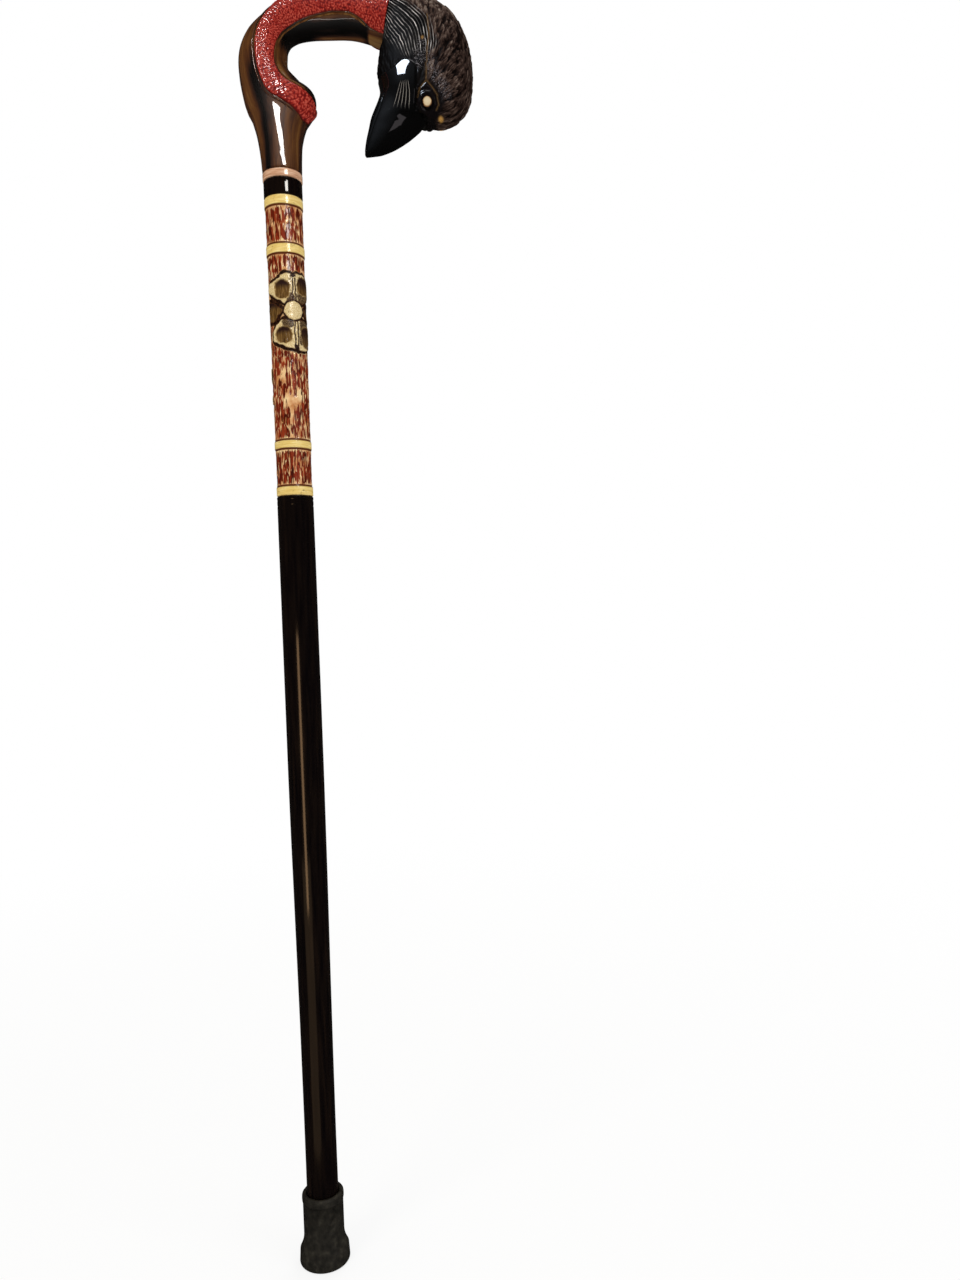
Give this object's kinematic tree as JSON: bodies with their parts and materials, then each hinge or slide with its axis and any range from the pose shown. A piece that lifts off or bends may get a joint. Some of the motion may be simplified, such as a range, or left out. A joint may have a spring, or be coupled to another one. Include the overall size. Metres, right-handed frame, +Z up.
{
  "type": "carved walking cane",
  "caption": "Wooden crook cane with a carved raven's head, a raised red grip band, a carved and ringed upper shaft, a lacquered lower shaft and a rubber ferrule.",
  "frame": {"origin": "centre of the ferrule's flat foot", "axes": "+Z up along the shaft, +X from the shaft towards the raven's head, Y across the crook"},
  "size_m": [0.1612, 0.043, 0.895],
  "materials": {
    "black_rubber": "matt moulded rubber",
    "zinc_plated_steel": "zinc plated",
    "black_lacquer": "black high-gloss lacquer",
    "burnt_carved_wood": "carved, burnt and stained under satin varnish",
    "pale_ring_wood": "gloss varnish",
    "black_ring_lacquer": "black high-gloss lacquer",
    "brown_lacquered_wood": "dark brown stain under high-gloss lacquer",
    "red_stippled_grip": "red, stippled, glossy",
    "black_brown_carved_wood": "carved feathers, black bill, gloss",
    "beech_dowel": "bare",
    "cream_eye_bead": "polished"
  },
  "bodies": {
    "root": {"ferrule": "black_rubber", "ferrule_washer": "zinc_plated_steel", "lower_shaft": "black_lacquer", "shaft_stud": "zinc_plated_steel", "upper_shaft_carved": "burnt_carved_wood", "collar_ring_black": "black_ring_lacquer", "collar_ring_pale": "pale_ring_wood", "handle_stud": "zinc_plated_steel", "handle_crook": "brown_lacquered_wood", "grip_band": "red_stippled_grip", "head_dowel": "beech_dowel", "raven_head": "black_brown_carved_wood", "raven_eye_left": "cream_eye_bead", "raven_eye_right": "cream_eye_bead"}
  },
  "joints": []
}
